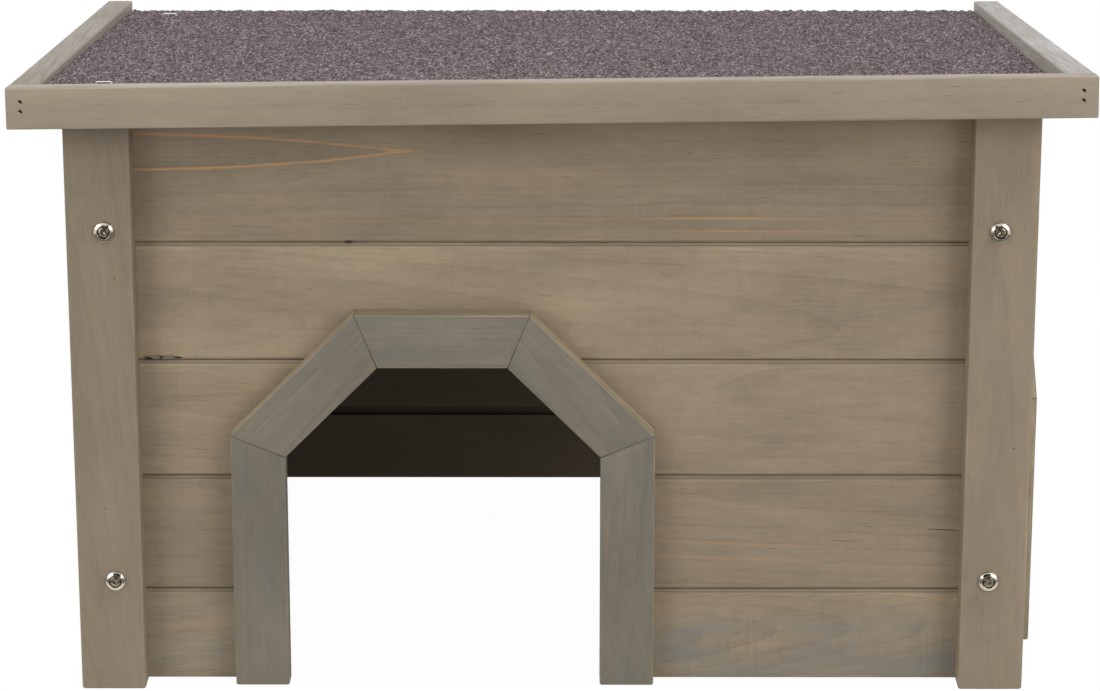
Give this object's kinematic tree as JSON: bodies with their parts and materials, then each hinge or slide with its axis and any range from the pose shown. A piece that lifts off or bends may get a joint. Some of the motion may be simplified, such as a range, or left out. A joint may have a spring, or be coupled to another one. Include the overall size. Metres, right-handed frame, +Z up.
{
  "type": "small animal hideout",
  "caption": "Small animal hideout of stained grooved planks on corner posts, with framed cut-corner entrances in front and at one side and a felted sloping roof hinged at the back.",
  "frame": {"origin": "on the ground below the middle of the roof's outline", "axes": "+X to the right along the front wall, +Y from the front wall to the back, +Z up"},
  "size_m": [0.6154, 0.4808, 0.3776],
  "materials": {
    "stained_planks": "grey-brown stained softwood, planed",
    "stained_posts": "grey-brown stained softwood, planed, eased edges",
    "stained_frames": "green-grey stained softwood, planed, eased edges",
    "stained_trims": "light grey-brown stained softwood, planed, eased edges",
    "plain_wood": "thinly stained softwood and plywood",
    "mineral_felt": "bitumen felt with purple-grey mineral granules",
    "nickel_washers": "bright nickel-plated pressed steel",
    "zinc_screws": "yellow zinc-plated steel",
    "steel_hardware": "zinc-plated steel"
  },
  "bodies": {
    "house": {"front_plank_1_left": "stained_planks", "front_plank_1_right": "stained_planks", "front_plank_2_left": "stained_planks", "front_plank_2_right": "stained_planks", "front_plank_3_left": "stained_planks", "front_plank_3_right": "stained_planks", "front_plank_4": "stained_planks", "front_plank_5": "stained_planks", "right_plank_1_front": "stained_planks", "right_plank_1_back": "stained_planks", "right_plank_2_front": "stained_planks", "right_plank_2_back": "stained_planks", "right_plank_3_front": "stained_planks", "right_plank_3_back": "stained_planks", "right_plank_4": "stained_planks", "right_plank_5": "stained_planks", "left_plank_1": "stained_planks", "left_plank_2": "stained_planks", "left_plank_3": "stained_planks", "left_plank_4": "stained_planks", "left_plank_5": "stained_planks", "back_plank_1": "stained_planks", "back_plank_2": "stained_planks", "back_plank_3": "stained_planks", "back_plank_4": "stained_planks", "back_plank_5": "stained_planks", "front_post_left": "stained_posts", "front_post_right": "stained_posts", "back_post_left": "stained_posts", "back_post_right": "stained_posts", "front_frame_head": "stained_frames", "side_frame_head": "stained_frames", "front_frame_leg_left": "stained_frames", "front_frame_leg_right": "stained_frames", "front_frame_brace_left": "stained_frames", "front_frame_brace_right": "stained_frames", "side_frame_leg_front": "stained_frames", "side_frame_leg_back": "stained_frames", "side_frame_brace_front": "stained_frames", "side_frame_brace_back": "stained_frames", "corner_batten_front_left": "plain_wood", "corner_batten_front_right": "plain_wood", "corner_batten_back_left": "plain_wood", "corner_batten_back_right": "plain_wood", "corner_screws": "zinc_screws", "corner_washers": "nickel_washers", "hinge_post_leaf_left": "steel_hardware", "hinge_post_leaf_right": "steel_hardware", "hinge_pins": "steel_hardware", "hinge_post_screws": "steel_hardware", "panel_brads": "steel_hardware"},
    "roof": {"roof_board": "plain_wood", "roof_felt": "mineral_felt", "roof_trim_front": "stained_trims", "roof_trim_left": "stained_trims", "roof_trim_right": "stained_trims", "hinge_roof_leaf_left": "steel_hardware", "hinge_roof_leaf_right": "steel_hardware", "hinge_roof_screws": "steel_hardware", "trim_brads": "steel_hardware"}
  },
  "joints": [
    {"name": "roof_hinge", "type": "hinge", "parent": "house", "child": "roof", "pos_m": [0, 0.22976, 0.30899], "axis": [-1, 0, 0], "range_deg": [0, 115]}
  ]
}
